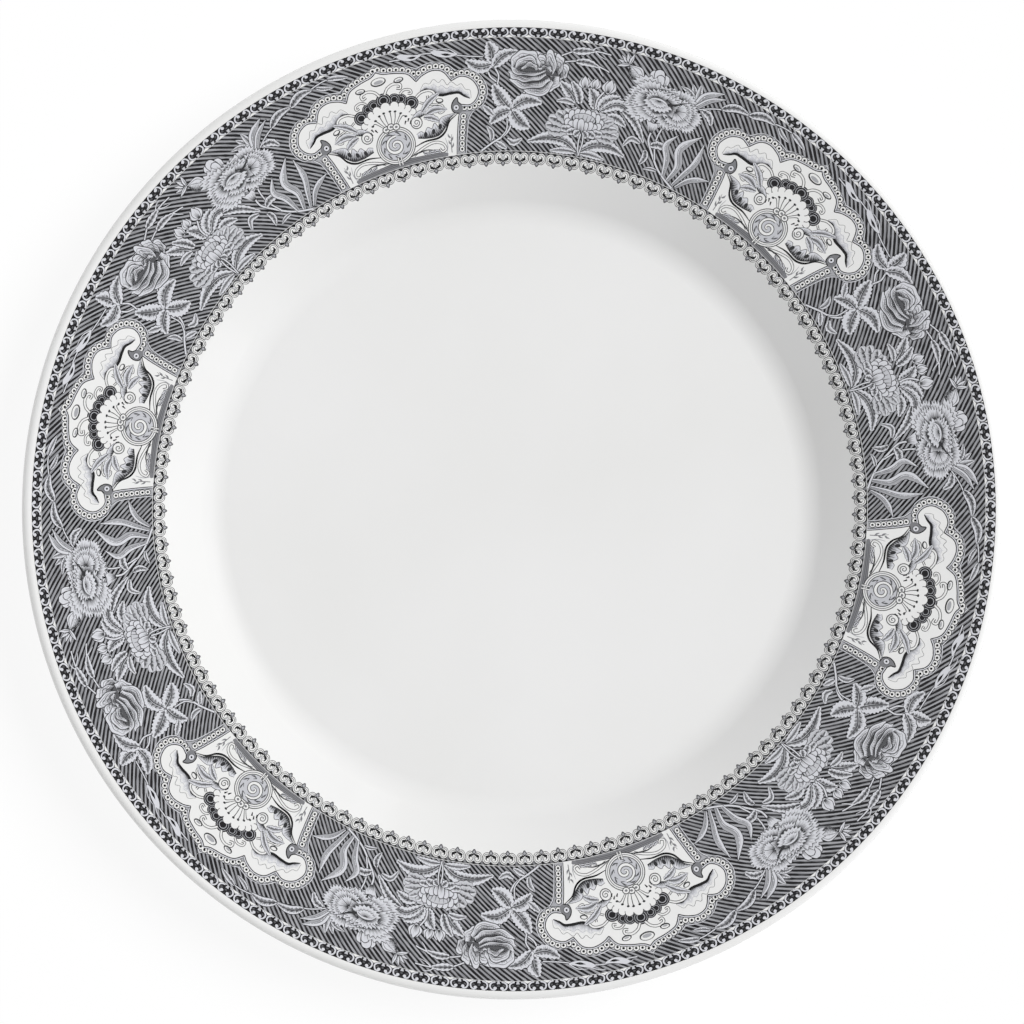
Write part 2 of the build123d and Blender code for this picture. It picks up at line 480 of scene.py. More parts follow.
def leaf_sprigs(d):
    """A sprig of three leaves, and under it one of four with small leaves on its stem."""
    stem(d, [(28.4, 121.4), (29.4, 119.2), (31.2, 117.6), (31.4, 116.4)], 0.4)
    stem(d, [(30.4, 121.9), (31.5, 119.6), (31.2, 117.2)], 0.4)
    d.leaf([(29.7, 122.6), (26.4, 122.2), (23, 124.3)], 3.3, 7)
    d.leaf([(29.8, 122.9), (29.9, 126), (28.8, 129)], 3.6, 7)
    d.leaf([(30.1, 121.9), (32.6, 124.8), (36.5, 126.2)], 3.2, 7)
    stem(d, [(35.6, 111), (37.5, 113.2), (39.6, 116.6)], 0.45)
    stem(d, [(35.1, 109.2), (35.2, 105.9), (33.4, 103.2), (29.5, 101.1), (26, 99.1)])
    stem(d, [(34, 107.8), (33.9, 104.6), (32.2, 102.5)], 0.35)
    d.leaf([(34.9, 110.4), (32.4, 113), (30, 117.2)], 4.2, 9)
    d.leaf([(34.9, 110), (31.6, 109), (28.9, 106.4)], 3.6, 8)
    d.leaf([(35.4, 110.4), (39.2, 112.6), (43.8, 112.2)], 3.8, 8)
    d.leaf([(35.2, 109.9), (37.4, 107), (40.8, 105.2)], 4.3, 9)
    d.leaf([(30, 108.7), (28.3, 110.2), (26.9, 111.6)], 1.7, 4)
    d.leaf([(29.3, 101.6), (29.3, 103.8), (27.8, 106)], 1.7)
    d.leaf([(34, 102.2), (36.2, 101), (38.9, 102.3)], 1.6, 5)
    d.leaf([(30.6, 101.3), (32.5, 100.3), (34.2, 99.3)], 1.5, 4)


def seed_sprays(d):
    """Two sprays that grow from behind the rose."""
    stem(d, [(46.6, 125.2), (49.2, 126.6), (52, 127.9), (56.5, 128.1), (59.6, 127.9)], 0.35)
    stem(d, [(47.5, 123.8), (51, 124.6), (55, 124.7), (58.2, 123.9), (60.2, 123.2)], 0.35)
    d.leaf([(50, 127.2), (52.6, 127.6), (55.6, 128.1)], 1.9, 5)
    d.leaf([(51.2, 124.5), (54.2, 124.7), (57.4, 124)], 1.8, 5)
    hairs(
        d,
        [0.32, 0.2, 0.12],
        [(54.9, 128.3), (56, 129.2), (57.4, 129.4)],
        [(57.2, 124.2), (58, 122.8), (58.9, 121.8)],
        [(55.6, 128), (57, 127), (58.6, 126.4)],
    )


# The rose's petals from the back to the front: the base of each, then its rim
ROSE = (
    [(41, 120.8), (44, 120), (47.5, 119.6)],
    [(38.6, 124.8), (41, 126.4), (43.6, 125.6), (46.6, 126), (49.2, 122.8)],
    [(46.6, 119.4), (47.6, 119.5)],
    [(47.2, 122.4), (48.6, 123.6), (49.8, 122), (49.3, 120), (48.2, 119)],
    [(45.4, 120), (46.9, 119.6)],
    [(45.4, 123.4), (46.3, 125.8), (47.8, 125.2), (48.2, 123), (47.6, 120.4)],
    [(43.4, 120.2), (45.3, 119.9)],
    [(42.8, 123), (43.8, 126.4), (45.2, 126.4), (46.3, 123.6), (46, 120.6)],
    [(42.2, 120.6), (43.4, 120.2)],
    [(41.4, 122.4), (41.9, 125.2), (42.8, 125.4), (43.7, 123.4), (43.7, 121.2)],
    [(35.6, 121.2), (38.4, 120.8), (41.8, 120.9)],
    [(34.6, 122.4), (35.4, 125.2), (38, 126.4), (40.8, 125.9), (42.2, 123.2)],
    [(36.2, 121), (41.6, 120.8)],
    [(35.8, 121.8), (36.8, 124), (38.8, 124.9), (40.8, 124.2), (41.9, 121.9)],
    [(38, 120.8), (41.2, 120.8)],
    [(37.4, 121), (38.4, 122.6), (39.9, 123.2), (41.2, 122.4), (41.7, 121)],
    [(45.6, 119.6), (43.6, 118.4), (41.4, 118)],
    [(47.4, 119.8), (48, 117.8), (46.4, 116), (44.2, 115.4), (42.4, 115.8)],
    [(45, 119.2), (42.4, 117.8), (39.6, 117.6)],
    [(46.2, 118), (45.2, 115.4), (42.4, 114.1), (40, 114.5), (37.8, 116.2)],
    [(44.6, 119.8), (41, 118.6), (37, 119.2)],
    [(45.4, 118.4), (43, 116.7), (39.4, 116), (36.2, 116.6), (34.4, 118.6)],
    [(43.6, 120.6), (40, 120.1), (36.6, 120.6)],
    [(44.2, 119.7), (41.2, 118.2), (37.6, 118), (35, 118.9), (34, 120.6)],
    [(43.2, 121.2), (39.6, 121.1), (36.4, 121.4)],
    [(43.6, 120.7), (40.4, 119.6), (37.4, 119.6), (35.2, 120.6), (34.4, 122)],
    [(44.9, 120.6), (43.6, 121.2), (42.6, 121)],
    [(45.6, 121.4), (44.6, 122.3), (43, 122.3), (41.9, 121.5)],
)


def rose(d):
    """An open rose of wide rolled petals."""
    for i, (base, rim) in enumerate(zip(ROSE[::2], ROSE[1::2])):
        near = 0.8 if 0 < i < 5 or i > 12 else 0.7
        edge = smooth(rim)
        edge = edge + normals(edge) * np.sin(np.linspace(0, 13 + 4 * (i % 3), len(edge)) + i)[:, None] * 0.2
        down = even(smooth(base, 8), len(edge)) - edge
        d.fill("deep", np.vstack([edge, (edge + down)[::-1]]))
        d.plume(edge + down * near, edge, 0.95, 0.55)
        d.fill("mid", ribbon((edge + down * 0.16)[3:-3], [0.05, 0.2, 0.05]))
        ripple = normals(edge) * np.sin(np.linspace(0, 21, len(edge)) + 2 * i)[:, None] * 0.1
        for share in (0.3, 0.5):
            d.fill("deep", ribbon((edge + down * share + ripple)[4 + i % 3 : -4], [0, 0.26, 0.1]))


def petal(d, root, tip, wide):
    """A rounded petal that stands on its root, shaded towards it."""
    root, tip = np.array(root), np.array(tip)
    up = tip - root
    side = np.array([up[1], -up[0]]) / np.hypot(*up) * wide / 2
    left, right = (
        smooth([root + s * 0.5, root + up * 0.5 + s, root + up * 0.88 + s * 0.8, tip], 4)
        for s in (-side, side)
    )
    ring = np.vstack([left, right[::-1]])
    d.fill("black", ribbon(ring, [0.3, 0.4, 0.3]))
    d.fill("pale", ring)
    foot = np.linspace(root - side * 0.5, root + side * 0.5, 4)
    head = np.array([root + up * 0.8 - side * 0.85, tip, root + up * 0.8 + side * 0.85])
    for tone, reach, _, solid in SHADES:
        d.hatch(tone, foot, head, min(reach, 0.85), 0.42, solid)


def tulip(d, at, turn, size):
    """A half-open bud of three upright petals."""
    for lean, tall, wide in ((26, 3.1, 1.5), (-26, 3.1, 1.5), (0, 3.4, 1.9)):
        put = placed(at, turn + lean * 0.6, size, size)
        x = lean * 0.02
        left, right = (smooth([(s * 0.35, 0), (s * wide / 2 - x, tall * 0.5), (0.1, tall)]) for s in (-1, 1))
        ring = put(np.vstack([left, right[::-1]]))
        d.fill("dark", ribbon(ring, [0.3, 0.34, 0.3]))
        d.fill("pale", ring)
        foot = np.linspace(put([(-0.35, 0.1)])[0], put([(0.35, 0.1)])[0], 5)
        d.shade(foot, put(smooth([(-wide * 0.45, tall * 0.6), (0, tall), (wide * 0.45, tall * 0.6)], 4)), 0.9)


def bowl(d, at):
    """A deep bowl of rounded petals with stamens, over a skirt of pointed, toothed ones."""
    x0, y0 = at
    skirt = (
        (197, 10.4), (-17, 10.6), (180, 11), (0, 11.2), (163, 10.8), (17, 11), (147, 9.8),
        (33, 10.2), (131, 9.2), (49, 9.4), (114, 8.4), (66, 8.6), (98, 8), (82, 8),
    )
    for a, reach in skirt:
        c, s = math.cos(math.radians(a)), 0.66 * math.sin(math.radians(a))
        start = (x0 + 2.4 * c, y0 + 0.4 + 2 * s)
        middle = (x0 + reach * 0.62 * c, y0 + 0.4 + reach * 0.62 * s)
        tip = (x0 + reach * c, y0 + 0.3 + reach * s + 0.24 * math.sin(a))
        d.leaf([start, middle, tip], 3.0, 5, 0.8, 0.6, "deep", 0.42, "light")
        glint = ((middle[0] + tip[0]) / 2, (middle[1] + tip[1]) / 2 + 0.4)
        d.line("pale", [middle, glint, tip], [0.1, 0.6, 0.1], 3)
        for x, y, wide in ((0.32, -0.5, 0.8), (-0.3, 0.55, 0.6)):
            bend = (start[0] + x - y * s, start[1] + y * c)
            d.line("dark", [start, bend, (middle[0] - y * s, middle[1] + y * c)], [wide, wide * 0.7, 0], 3)
    for x, low, tall, wide in (
        (-4.9, 0.2, 3.6, 1.9), (4.9, 0.2, 3.6, 1.9), (-3.6, 0.4, 4.9, 2), (3.6, 0.4, 4.9, 2),
        (-2.1, 0.8, 5.5, 1.9), (2.2, 0.8, 5.4, 1.9), (-0.7, 0.9, 5.6, 1.8), (0.8, 0.9, 5.7, 1.8),
    ):
        petal(d, (x0 + x * 0.8, y0 + low), (x0 + x * 1.08, y0 + tall), wide)
    d.disc("dark", (x0, y0 + 2.7), 3.7, 1.85, count=20)
    d.disc("light", (x0, y0 + 2.9), 3.3, 1.5, count=20)
    for x, lean in ((-2.6, -0.5), (-1.5, -0.3), (-0.4, 0), (0.7, 0.2), (1.8, 0.4), (2.7, 0.5)):
        stamen = [(x0 + x * 0.8, y0 + 1.2), (x0 + x, y0 + 2.8), (x0 + x + lean, y0 + 4)]
        d.line("mid", stamen, [0.5, 0.3, 0.1], 3)
    for x, tall, wide in (
        (-4.9, 2.3, 2), (4.9, 2.4, 2), (-3.7, 1.9, 1.9), (3.7, 2, 1.9),
        (-2.2, 2.7, 1.9), (2.4, 2.5, 1.9), (0.9, 2.2, 1.7), (-0.7, 2.9, 1.8),
    ):
        petal(d, (x0 + x * 0.5, y0 - 1.1), (x0 + x * 1.05, y0 + tall), wide)
    for x, fall in ((-5.6, -0.4), (5.6, -0.3), (-3.8, -1.5), (3.8, -1.4), (-1.7, -2), (1.7, -2)):
        curve = [(x0 + x * 0.3, y0 - 0.5), (x0 + x * 0.75, y0 - 0.3 + fall * 0.4), (x0 + x * 1.15, y0 + fall)]
        d.leaf(curve, 1.9, 3, 0.8, 0.6, "dark", 0.5)


def bowl_flower(d):
    """The bowl on its stems, with serrated leaves and three buds."""
    d.leaf([(56.2, 100.2), (52, 102.6), (46.5, 103), (40.2, 101.4)], 3.2, 12)
    d.leaf([(57, 100.2), (61, 102.7), (66, 103.3), (71.2, 102)], 3.2, 12)
    d.leaf([(55.8, 99.9), (52.6, 100), (47.6, 99.5)], 1.7, 8)
    d.leaf([(57.4, 99.9), (60.5, 100.2), (65.4, 99.6)], 1.7, 8)
    d.leaf([(53.2, 113.4), (51.4, 115.8), (48, 118.6)], 3.0, 8)
    d.leaf([(54.4, 113.2), (53.4, 116.2), (51, 119.2)], 2.2, 6)
    d.leaf([(53, 113), (50.4, 113.6), (47.6, 113.2)], 1.6, 5)
    d.leaf([(58.6, 112.6), (58, 115.6), (56.2, 118)], 3.2, 8)
    d.leaf([(60, 112.4), (61.6, 115), (64.9, 117.3)], 3.6, 10)
    d.leaf([(60.4, 112.4), (65, 115.2), (70.6, 112.6)], 2.7, 10)
    d.leaf([(62, 110.8), (65.2, 111.4), (68.6, 109.9)], 2.4, 8)
    stem(d, [(58.8, 113.2), (58.9, 115.4), (60.1, 117.6)], 0.45)
    for at, turn, size in (((54.9, 117.7), 12, 1), ((57.3, 117.9), -6, 0.9), ((61.1, 117.5), -3, 1.15)):
        tulip(d, at, turn, size)
    bowl(d, (56.4, 106.4))
    stem(d, [(56.3, 105.2), (56.2, 102.6), (56.8, 99.2)], 0.4)
    stem(d, [(57.2, 105), (57.4, 102.6), (57, 99.2)], 0.4)


def carnation_bed(d):
    """What lies round and under the double carnation: stems, small leaves, blades, a bud and back petals."""
    stem(d, [(76, 111), (76.2, 108.4), (78.6, 105.4), (82, 102.2), (85.4, 100.3), (88.8, 99)])
    stem(d, [(78.6, 113.6), (78.2, 110.4), (78.6, 107.4), (80.2, 104)], 0.4)
    d.leaf([(66.4, 113.9), (70.6, 111.8), (75.2, 107.2)], 2.0, 8)
    d.leaf([(74.4, 106.9), (71.2, 107.3), (69.3, 104.3)], 1.6)
    d.leaf([(76.2, 105.8), (77, 103.8), (76.1, 101.2)], 1.9)
    d.leaf([(82.2, 101.5), (80, 101.4), (77.8, 100.6)], 1.1)
    d.leaf([(77.2, 107.2), (79.4, 108.2), (82.2, 107.6)], 1.9, 4)
    d.leaf([(86.2, 121.6), (88.6, 121), (90.2, 118.8)], 1.8, 4)
    root = 83.9
    for tip, wide in (((81.2, 127.2), 1.7), ((83.2, 127.9), 1.7), ((78.6, 125.4), 1.5)):
        d.leaf([(root, 122), ((root + tip[0]) / 2 + 0.3, 124.6), tip], wide)
    d.blade([(84.2, 122), (85.6, 125.6), (89.6, 128.4)], [1.6, 2, 1.5, 0])
    d.blade([(84.6, 121.8), (87, 124.9), (90.6, 127.2)], [1.2, 1.4, 1.1, 0])
    for turn in (168, 140, 112, 80, 200):
        star = placed((64.6, 126.6), turn)
        for tone, y, points, widths in (
            ("dark", 0, (0, 1.5, 3.4), [1.1, 1.3, 0.1]),
            ("pale", 0, (0, 1.5, 3.2), [0.5, 0.9, 0]),
            ("mid", -0.1, (0, 1.2, 2.4), [0.3, 0.2, 0]),
        ):
            d.fill(tone, ribbon(star([(x, y) for x in points]), widths))
    bud(d, (64.6, 126.6), -38, 6.4, 3.8)
    petal(d, (73.2, 122.6), (70.9, 126.9), 2.4)
    petal(d, (74.4, 122.8), (74.2, 126.6), 2.4)
    petal(d, (73.8, 122.4), (72.2, 127.6), 2.6)
    petal(d, (73.6, 122.4), (73.1, 126.2), 2)
    d.plume(np.array([(75.4, 110.6), (76.4, 110.6)]), smooth([(73.4, 113.8), (75.6, 113.2), (77.6, 114)]))


def bud(d, at, turn, long, wide):
    """A closed bud: three overlapping sheaths."""
    put = placed(at, turn)
    for side, reach in ((1, 0.5), (-1, 0.5), (0, 0.34)):
        top, low = (0.5 if side >= 0 else -0.12), (-0.5 if side <= 0 else 0.12)
        tip = (long, side * 0.2)
        left, right = (put(smooth([(0.2, 0), (long * 0.45, wide * y), tip])) for y in (top, low))
        d.fill("dark", ribbon(left, [0.3, 0.4]))
        d.fill("dark", ribbon(right, [0.3, 0.4]))
        d.fill("pale", np.vstack([left, right[::-1]]))
        d.shade(right, left, reach * 1.9)
    for side in (-0.55, 0.1, 0.6):
        vein = smooth([(0.5, 0), (long * 0.45, wide * side * 0.6), (long * 0.9, side * 0.3)])
        d.fill("mid", ribbon(put(vein), [0.1, 0.22, 0]))


def carnation(d):
    """A double flower of fringed fans, outermost first: a full head, its heart, and a half head beside it."""
    centre, squash = (74.9, 118.6), (1.42, 0.92)
    for radius, base, count, first in ((5.4, 4.3, 10, 15), (4.3, 3.2, 9, 0), (3.2, 2.1, 7, 40)):
        half = 360 / count * 0.6
        for i in range(count):
            a = first + 360 / count * i
            jog = 1 + 0.16 * math.sin(2.4 * i)
            at = (centre[0] + 0.5 * math.cos(3.1 * i), centre[1] + 0.4 * math.sin(4.7 * i))
            d.scallop(placed(at, 0, *squash), base, radius * jog, a - half, a + half, 6, 0.8, 0.46)
    heart = placed((74.9, 119.7), 0, 1.5, 1)
    d.fill("mid", heart(circle((0, -0.7), 2.0, 1.35, count=20)))
    d.scallop(heart, 0.9, 2.5, 200, 340, 9, 0.55)
    lip = [(-1.5, -1), (-0.8, -0.5), (0, -0.3), (0.8, -0.5), (1.5, -1)]
    crown = smooth([(-1.9, -1), (-1.2, 0.05), (0, 0.45), (1.2, 0.05), (1.9, -1)], 4)
    d.plume(heart(lip), heart(crown), 0.7, 0.4)
    d.scallop(heart, 0.2, 1.5, 205, 335, 7, 0.4)
    side_head = placed((79.8, 118.6), -8, 1.15, 0.9)
    for radius, base, edges in (
        (5.0, 3.7, (-118, -78, -42, -8, 28, 62, 96)),
        (3.7, 2.3, (-100, -54, -10, 34, 80)),
        (2.4, 0.2, (-75, -20, 30, 70)),
    ):
        for a0, a1 in zip(edges, edges[1:]):
            d.scallop(side_head, base, radius * random.uniform(0.9, 1.1), a0 - 4, a1 + 4, 6, 0.8, 0.46)
    d.line("dark", [(77.4, 119.3), (79.4, 120), (82.2, 121.9)], [0.7, 0.6, 0.1])


def grass(d):
    """Blades beside the next cartouche."""
    d.blade([(84.6, 100.9), (83.4, 105.6), (81.4, 109), (83.6, 112.9)], [1, 1.8, 1.7, 0])
    d.blade([(86.4, 100.3), (87.4, 105), (85.6, 109.6), (89.8, 115.4)], [1, 2.2, 2.2, 0])
    d.blade([(88.4, 99.6), (89.9, 103.4), (91.5, 108), (91.1, 113.8)], [0.8, 1.6, 1.9, 0])
    d.blade([(89.6, 99.5), (92, 102.6), (94.6, 104.3), (98, 105.6)], [0.7, 1.5, 1.5, 0])


def floral_panel(d):
    for motif in (vines, leaf_sprigs, seed_sprays, rose, bowl_flower, carnation_bed, carnation, grass):
        motif(d)


# ---- Cartouche
# Lobes of the beaded frame's outer and inner edge, right half: dome, shoulder, end bulb, side
FRAME_OUTER = (
    [(0, 128.2), (1.6, 127.2), (5.2, 126.2), (8, 125.4), (10.3, 124.3)],
    [(10.3, 124.3), (12.3, 124.9), (14.9, 125.1), (17.9, 124.2), (20.3, 121.9)],
    [(20.3, 121.9), (23.2, 122.1), (26.3, 120.3), (28.3, 117), (28.3, 114), (26.9, 111.5), (24.3, 110.2)],
    [(24.3, 110.2), (23, 108.4), (22.3, 105.8), (21.7, 102.4), (21.2, 98.8)],
)
FRAME_INNER = (
    [(0, 126), (1.6, 125), (4.8, 124.3), (7.8, 123.2), (9.6, 120.7)],
    [(9.6, 120.7), (11.5, 122), (14.3, 122.8), (16.9, 122), (18.8, 119.2)],
    [(18.8, 119.2), (21.6, 120.1), (24.4, 118.8), (25.9, 116), (25.3, 113.6), (23.4, 112.1), (20.9, 112.4)],
    [(20.1, 110), (19.5, 107.5), (18.9, 104), (18.4, 101), (18.1, 98.8)],
)
# The curl that joins the inner edge's end bulb and side
FRAME_CURL = [(20.9, 112.4), (20.1, 113.2), (19.9, 114.4), (18.7, 113.5)]
FRAME_CURL += [(18.1, 112), (18.6, 110.5), (20.1, 110)]


def both_halves(parts):
    right = np.vstack(parts)
    return np.vstack([right[::-1] * (-1, 1), right])


def double_line(d, points, width=0.5):
    """A white stroke between two dark lines."""
    d.line("dark", points, [width + 0.28, width + 0.3, width + 0.22])
    d.line(BARE, points, [width - 0.08, width, width * 0.6])


def frame_border(d):
    """The beaded frame, drawn from its outer edge in. Leaves its inside bare."""
    outer, inner = ([smooth(lobe, 7) for lobe in lobes] for lobes in (FRAME_OUTER, FRAME_INNER))
    inner.insert(3, smooth(FRAME_CURL, 5))
    d.flips = (1,)
    d.fill("soft", both_halves(outer))
    d.flips = (-1, 1)
    for part in outer:
        d.fill("black", ribbon(part, [0.76, 0.76]))
        d.fill("pale", ribbon(part, [0.46, 0.46]))

    # Beads run half way across the frame. The last two runs turn in at the curl.
    runs = [(even(smooth(a, 7), 40) + even(smooth(b, 7), 40)) / 2 for a, b in zip(FRAME_OUTER, FRAME_INNER)]
    turn_in = smooth([(23.9, 111.3), (22.3, 111.4), (20.9, 111.5), (19.5, 111.7)], 5)
    runs[2] = np.vstack([runs[2][:-6], turn_in])
    runs[3] = even(smooth([(21.4, 109.8), (21, 107.4), (20.4, 103.8), (19.8, 99.4)], 7), 30)
    for run in runs:
        d.fill("dark", ribbon(run, [2.1, 2.1]))
        d.fill("light", ribbon(run, [1.8, 1.8]))
    for run in runs:
        beads = max(2, round(length(run) / 1.55))
        for centre in even(run, 2 * beads + 1)[1::2]:
            d.discs(centre, ("dark", 0.94, 0.94, 12), (BARE, 0.76, 0.76, 12), ("black", 0.35, 0.35, 9))
    for part in inner:
        d.fill("dark", ribbon(part, [1.1, 1.1]))
        d.fill("pale", ribbon(part, [0.8, 0.8]))
    d.flips = (1,)
    d.fill(BARE, both_halves(inner))
    d.flips = (-1, 1)
    for part in inner:
        d.fill("black", ribbon(part, [0.26, 0.26]))
    d.fill("mid", smooth([*FRAME_CURL, (20.9, 110.3), (21.3, 111.4)], 4, True))
    d.fill("black", ribbon(smooth(FRAME_CURL, 5), [0.3, 0.3]))
    d.discs((19.4, 111.7), ("deep", 0.95, 0.95, 14), ("pale", 0.76, 0.76, 14), ("black", 0.3, 0.3, 8))


def shoulder_scrolls(d):
    """Feathered scrolls in the shoulders, over a heavy line."""
    back = [
        (10.2, 118), (11.6, 119.7), (13, 119.3), (14.2, 120.3), (15.4, 119.2), (16.6, 119.9), (17.6, 118.2),
        (18.8, 118.9), (20.2, 117.7), (21.4, 118), (22.4, 116.4), (23.6, 116), (23.8, 113.9),
    ]
    front = [
        (10.2, 117.9), (12.2, 118), (13.8, 116.7), (15.6, 115.7),
        (18.4, 115.8), (20.6, 115.7), (22, 114.6), (23.5, 113.8),
    ]
    wave, heel = smooth(back, 5), even(smooth(front, 5), 61)
    d.fill("deep", ribbon(wave, [0.16, 0.24, 0.16]))
    d.fill(BARE, np.vstack([wave, heel[::-1]]))
    d.fill("soft", ribbon((heel + (even(wave, 61) - heel) * 0.62)[4:-4], [0, 0.16, 0]))
    cuts = (("pale", 0.8, 0.5), ("light", 0.6, 0.42), ("soft", 0.42, 0.4), ("deep", 0.26, 0.42))
    for tone, reach, pitch in cuts:
        d.hatch(tone, heel, wave, reach, pitch, 0.35)
    d.line("black", front, [0.15, 0.55, 0.75, 0.7, 0.2])
    hook = [(8.6, 116.4), (10.4, 117.5), (12.6, 117.6), (13.8, 116.6), (13.2, 115.4)]
    double_line(d, [*hook, (12, 115.4), (11.9, 116.3)])


def fan(d):
    """A dark fan behind a white scalloped flower with stamens."""
    for centre, r in (((7.2, 115.3), 2.05), ((4.7, 117), 1.6), ((2.9, 117.5), 1.7), ((0, 118), 2.1)):
        for tone, a, b, count in (
            ("black", 1, 0.95, 20), ("soft", 0.84, 0.8, 18), ("black", 0.76, 0.72, 18),
            ("soft", 0.56, 0.52, 14), ("black", 0.46, 0.42, 12),
        ):
            d.disc(tone, centre, r * a, r * b, count=count)
    flower = [
        (0, 117), (1.3, 116.6), (1.7, 115.9), (3, 116.3), (3.8, 115.2), (5.2, 115.2),
        (5.6, 113.9), (7, 113.6), (7.4, 112.4), (5.4, 111), (0, 110),
    ]
    d.fill(BARE, smooth(flower, 4))
    lobes = ((7.1, 112.9, 0.9), (5.9, 114.1, 0.95), (4.3, 115.1, 1.05), (2.5, 115.8, 1.1), (0, 116, 1.3))
    for x, y, r in lobes:
        d.discs((x, y), ("dark", r + 0.16, r + 0.16, 16), (BARE, r, r, 16))
    d.fill(BARE, [(0, 116.4), (2.6, 115.9), (4.6, 114.6), (6.6, 112.4), (5.4, 110.6), (0, 109.4)])
    for x, y in ((0.9, 114.6), (2.3, 114.2), (3.7, 113.3), (4.9, 112.1)):
        d.line("dark", [(x * 0.35, 110.2), (x * 0.8, 112.4), (x, y)], [0.12, 0.2, 0.24])
        d.disc("dark", (x, y), 0.42, 0.3, count=8)
    for x, y in ((5.6, 111.4), (6.1, 110.6), (4.6, 110.9)):
        d.line("black", [(x - 0.5, y - 0.9), (x, y)], [0.2, 0.5], 2)


def tendrils(d):
    """Tendrils and ovals over the fan."""
    double_line(d, [(0.7, 119.4), (1.8, 120.9), (3.6, 121.6), (5.3, 121.1), (5.2, 120), (4.2, 120.3)], 0.55)
    double_line(d, [(4.7, 118.5), (6, 119.3), (7.6, 118.9), (7.7, 117.9), (6.8, 118.1)], 0.45)
    d.discs((5.2, 122.3), ("dark", 1.35, 0.78, 16), turn=0.1)
    d.discs((5.2, 122.4), (BARE, 1.05, 0.5, 14), turn=0.1)
    d.discs((5.2, 122.25), ("soft", 0.7, 0.24, 10), turn=0.1)
    d.flips = (1,)
    d.discs((0, 123.3), ("dark", 2.05, 1.2, 20))
    d.discs((0, 123.42), (BARE, 1.75, 0.92, 18))
    d.discs((0, 123.2), ("soft", 1.25, 0.52, 14))
    d.flips = (-1, 1)


def side_leaves(d):
    """Three leaves, a bent stalk and a small spiral at each side of the flower."""
    double_line(d, [(9.4, 114.9), (11.2, 114), (13, 113.6), (14.4, 113.3)], 0.35)
    d.discs((15, 114.3), ("dark", 1.1, 0.7, 14), turn=-0.2)
    d.discs((15, 114.4), (BARE, 0.8, 0.42, 12), turn=-0.2)
    double_line(d, [(14.4, 113.4), (15.6, 112.8), (15.8, 111.4), (14.6, 110.9), (14.3, 111.8)], 0.4)
    fold = smooth([(6.4, 110.4), (8.4, 110.6), (10.6, 111.4)])
    d.plume(fold, smooth([(6.2, 110.9), (8.2, 112.4), (10, 112.6), (11.2, 111.6)]), 1.2)
    d.leaf([(9.6, 112.2), (12, 114.6), (15.4, 116.6)], 1.5, 5, 0.9)
    d.leaf([(10.4, 111.2), (13.2, 112.2), (16.8, 111.6)], 1.7, 5, 0.9)
    d.leaf([(9.8, 110.6), (12.2, 110), (14.6, 108.4)], 1.5, 5, 0.9)
    spiral = (7.5, 109.6)
    d.discs(spiral, ("dark", 1.75, 1.75, 18), (BARE, 1.5, 1.5, 18))
    d.line("deep", coil(spiral, 1.15, 0.15, 200, 740, 18), [0.26, 0.24, 0.2], 0)


def acanthus(d):
    """The acanthus band, the long stems under it and a sprig in each corner."""
    low = [(7, 105.2), (10, 104.6), (13.4, 104.8), (15.6, 106.6), (17.4, 109), (19.2, 110.1)]
    top = [
        (6.8, 106.4), (8.2, 106.9), (9.2, 106.3), (10.4, 107.6), (11.6, 107),
        (12.6, 108.4), (13.6, 107.2), (14.4, 109.2), (16, 109.9), (19.2, 110.2),
    ]
    d.plume(smooth(low), smooth(top, 5), 1.3, 0.35)
    for centre in ((9.4, 105.8), (11.9, 106.2), (14.1, 107.2)):
        d.disc("dark", centre, 0.55, 0.8, -0.3, 10)
    back = [(5.6, 103.2), (9, 104), (13, 104.2), (15.4, 105.6), (17, 108.2), (19.6, 110)]
    d.line("black", back, [0.2, 0.5, 0.6, 0.5, 0.15])
    crook = [(4.6, 101), (8, 102.4), (11.4, 103.2), (14, 102.5), (14.9, 100.9), (13.7, 100.3), (12.9, 101.3)]
    double_line(d, crook, 0.55)
    d.line("dark", [(2, 100.4), (5.2, 101.2), (8.6, 101.6), (11, 101.2)], [0.15, 0.45, 0.15])
    for x in (7.6, 9.4, 11):
        d.leaf([(x, 101.2), (x + 1, 100.6), (x + 2.2, 100.5)], 0.8, 0, 0.9)
    d.line("deep", [(16.6, 99.6), (16.7, 102.2), (17.2, 104.6)], [0.22, 0.2, 0.1])
    for y, side in ((101, 1), (101.9, -1), (102.8, 1), (103.7, -1)):
        d.line("mid", [(16.7, y), (16.7 + side * 0.5, y + 0.5), (16.8 + side * 0.75, y + 1.3)], [0.4, 0.5, 0])
    d.line("soft", [(14.9, 99.4), (15.5, 101.6), (15.1, 103.9)], [0.2, 0.24, 0.1])


